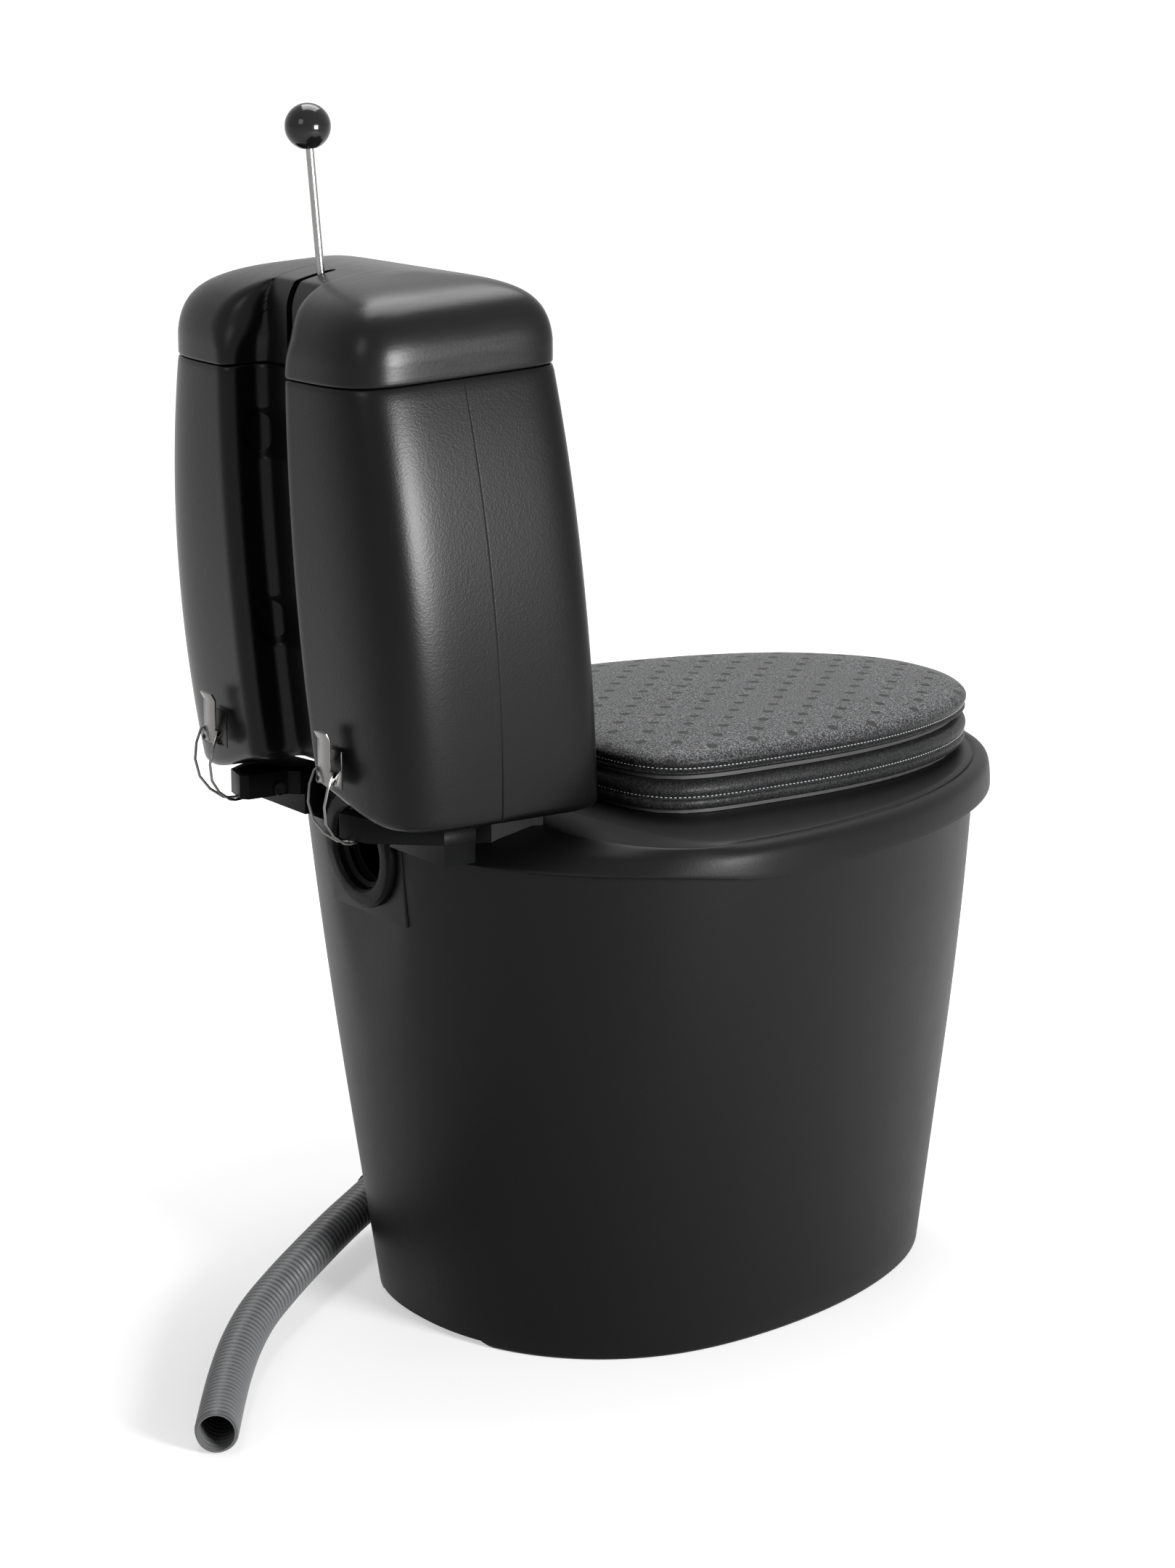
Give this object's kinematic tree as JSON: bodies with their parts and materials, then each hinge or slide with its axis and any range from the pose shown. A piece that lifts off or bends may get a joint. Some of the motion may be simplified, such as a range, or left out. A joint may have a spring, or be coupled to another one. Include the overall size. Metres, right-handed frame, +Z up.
{
  "type": "dry toilet",
  "caption": "Black plastic dry toilet with a padded lid, a peat hopper with a lever behind the seat, a rear vent collar and a grey drain hose.",
  "frame": {"origin": "on the floor, under the middle of the casing's base, on the object's plane of symmetry", "axes": "+Z up, +Y from the seat's front to the hopper at the rear, +X to the side that the drain hose leaves from"},
  "size_m": [0.6042, 0.9343, 1.1079],
  "materials": {
    "casing_plastic": "satin",
    "hopper_plastic": "grained satin",
    "lid_plastic": "semi-gloss",
    "bracket_plastic": "satin",
    "inner_plastic": "satin",
    "upholstery": "dotted grain",
    "board": "plain",
    "ball_plastic": "polished",
    "stainless_steel": "brushed",
    "nickel_plate": "bright",
    "rubber": "plain",
    "hose_plastic": "satin"
  },
  "bodies": {
    "casing": {"outer_casing": "casing_plastic", "vent_collar": "bracket_plastic", "strainer_plate": "inner_plastic", "drain_gasket": "rubber", "drain_elbow": "hose_plastic", "drain_nut": "hose_plastic", "drain_hose": "hose_plastic"},
    "deck": {"seat_deck": "casing_plastic", "splash_guard": "inner_plastic", "hopper_cradle": "casing_plastic", "latch_bracket_left": "bracket_plastic", "latch_bracket_right": "bracket_plastic", "bracket_screw_left": "nickel_plate", "bracket_screw_right": "nickel_plate", "seat_ring_board": "board", "seat_ring_cushion": "upholstery", "seat_hinge_base_left": "casing_plastic", "seat_hinge_base_right": "casing_plastic", "seat_hinge_pin_left": "stainless_steel", "seat_hinge_pin_right": "stainless_steel", "hopper_tank": "hopper_plastic", "shaft_bush_left": "inner_plastic", "shaft_bush_right": "inner_plastic", "latch_base_left": "nickel_plate", "latch_base_right": "nickel_plate", "latch_pin_left": "nickel_plate", "latch_pin_right": "nickel_plate"},
    "seat_lid": {"seat_lid_board": "board", "seat_lid_cushion": "upholstery"},
    "hopper_lid": {"hopper_lid": "lid_plastic"},
    "dispenser": {"lever_rod": "stainless_steel", "lever_knob": "ball_plastic", "lever_hub": "nickel_plate", "dispenser_shaft": "stainless_steel", "dispenser_gate": "inner_plastic"},
    "latch_lever_left": {"latch_lever_left": "nickel_plate"},
    "latch_bail_left": {"latch_bail_left": "nickel_plate"},
    "latch_lever_right": {"latch_lever_right": "nickel_plate"},
    "latch_bail_right": {"latch_bail_right": "nickel_plate"}
  },
  "joints": [
    {"name": "deck_lift", "type": "slide", "parent": "casing", "child": "deck", "axis": [0, 0, 1], "range_m": [0, 0.12]},
    {"name": "seat_lid_hinge", "type": "hinge", "parent": "deck", "child": "seat_lid", "pos_m": [0, 0.101, 0.5229], "axis": [-1, 0, 0], "range_deg": [0, 93.5]},
    {"name": "hopper_lid_lift", "type": "slide", "parent": "deck", "child": "hopper_lid", "axis": [0, -0.4695, 0.8829], "range_m": [0, 0.3]},
    {"name": "dispenser_swing", "type": "hinge", "parent": "deck", "child": "dispenser", "pos_m": [0, 0.276, 0.6], "axis": [-1, 0, 0], "range_deg": [-1, 5]},
    {"name": "latch_left_swing", "type": "hinge", "parent": "deck", "child": "latch_lever_left", "pos_m": [-0.099, 0.36644, 0.548], "axis": [-1, 0, 0], "range_deg": [0, 110]},
    {"name": "bail_left_swing", "type": "hinge", "parent": "latch_lever_left", "child": "latch_bail_left", "pos_m": [-0.099, 0.36939, 0.557], "axis": [-1, 0, 0], "range_deg": [-94, 0]},
    {"name": "latch_right_swing", "type": "hinge", "parent": "deck", "child": "latch_lever_right", "pos_m": [0.099, 0.36644, 0.548], "axis": [-1, 0, 0], "range_deg": [0, 110]},
    {"name": "bail_right_swing", "type": "hinge", "parent": "latch_lever_right", "child": "latch_bail_right", "pos_m": [0.099, 0.36939, 0.557], "axis": [-1, 0, 0], "range_deg": [-94, 0]}
  ],
  "couplings": [
    {"joint": "bail_left_swing", "follows": "latch_left_swing", "ratio": -0.85},
    {"joint": "bail_right_swing", "follows": "latch_right_swing", "ratio": -0.85}
  ]
}
